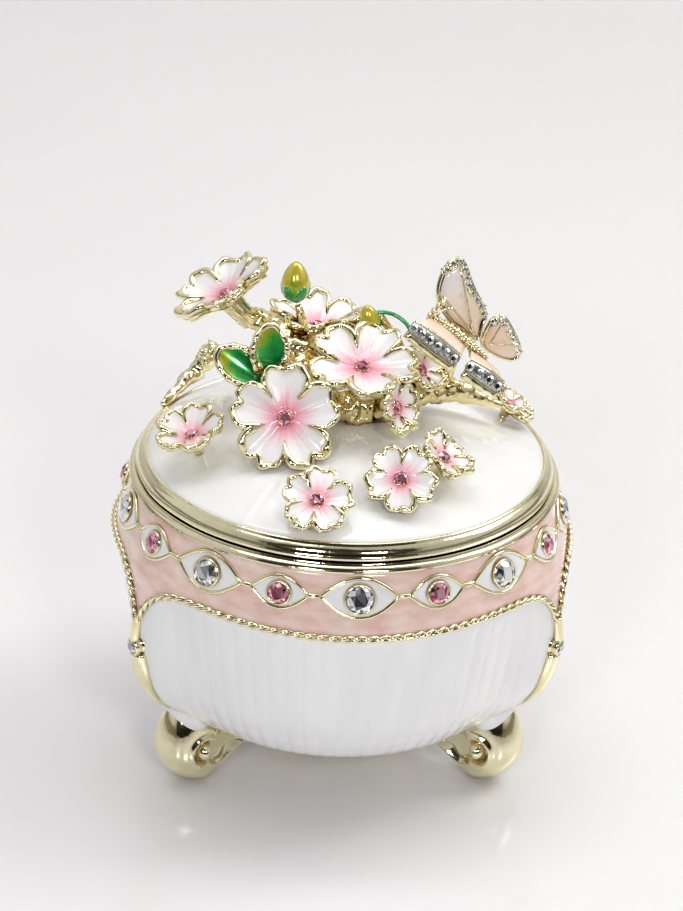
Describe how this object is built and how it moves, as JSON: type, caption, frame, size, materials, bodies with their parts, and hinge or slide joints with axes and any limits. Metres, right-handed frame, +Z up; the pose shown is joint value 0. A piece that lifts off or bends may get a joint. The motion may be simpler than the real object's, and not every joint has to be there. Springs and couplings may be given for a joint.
{
  "type": "trinket box",
  "caption": "Round footed vanity trinket box in enamelled gold-plated metal, with a jewelled band and a hinged domed lid carrying blossoms and a butterfly.",
  "frame": {"origin": "on the box's vertical axis, in the plane that the three feet stand on", "axes": "+Z up, -Y towards the front of the box, opposite the hinge, +X to the viewer's right"},
  "size_m": [0.07, 0.0718, 0.0799],
  "materials": {
    "gold": "polished pale gold plating on cast metal, darker in the recesses",
    "white_enamel": "glossy white cold enamel over a ribbed casting",
    "pink_enamel": "glossy pearly pale pink enamel",
    "blossom_enamel": "glossy enamel shading from a pink heart to white petal ends",
    "leaf_enamel": "translucent glossy enamel from deep green to olive yellow",
    "wing_enamel": "glossy pearly peach enamel",
    "clear_crystal": "faceted clear foiled crystal",
    "pink_crystal": "faceted rose foiled crystal",
    "magnet": "bright nickel-plated closing magnet"
  },
  "bodies": {
    "base": {"band_bezels": "gold", "band_crystals_clear": "clear_crystal", "band_crystals_pink": "pink_crystal", "base_magnet": "magnet", "bowl_casting": "gold", "collar_enamel": "pink_enamel", "eye_cells": "gold", "eye_enamel": "white_enamel", "hinge_base_leaf": "gold", "hinge_pin": "gold", "leg_crystals": "clear_crystal", "leg_strap_left": "gold", "leg_strap_rear": "gold", "leg_strap_right": "gold", "mouth_rim": "gold", "panel_enamel_front": "white_enamel", "panel_enamel_left": "white_enamel", "panel_enamel_right": "white_enamel", "rope_border": "gold", "scroll_foot_left": "gold", "scroll_foot_rear": "gold", "scroll_foot_right": "gold"},
    "lid": {"antennae": "gold", "beaded_twig": "gold", "blossom_crystals": "pink_crystal", "blossom_enamel_large": "blossom_enamel", "blossom_enamel_small": "blossom_enamel", "blossom_front_large": "gold", "blossom_left_large": "gold", "blossom_rear_large": "gold", "blossom_small_front": "gold", "blossom_small_left": "gold", "blossom_small_outer": "gold", "blossom_small_rear": "gold", "blossom_small_right": "gold", "blossom_small_trunk": "gold", "blossom_small_wing": "gold", "blossom_top_large": "gold", "branch": "gold", "bud_right": "leaf_enamel", "bud_upper": "leaf_enamel", "butterfly_body": "gold", "forewing_far": "gold", "forewing_near": "gold", "hindwing_far": "gold", "hindwing_near": "gold", "hinge_lid_leaf": "gold", "leaf_enamel": "leaf_enamel", "leaf_left": "gold", "leaf_right": "gold", "lid_casting": "gold", "lid_enamel": "white_enamel", "lid_magnet": "magnet", "lid_rim": "gold", "locating_lip": "gold", "pave_crystals": "clear_crystal", "wing_enamel": "wing_enamel"}
  },
  "joints": [
    {"name": "lid_hinge", "type": "hinge", "parent": "base", "child": "lid", "pos_m": [0, 0.0338, 0.0475], "axis": [-1, 0, 0], "range_deg": [0, 95]}
  ]
}
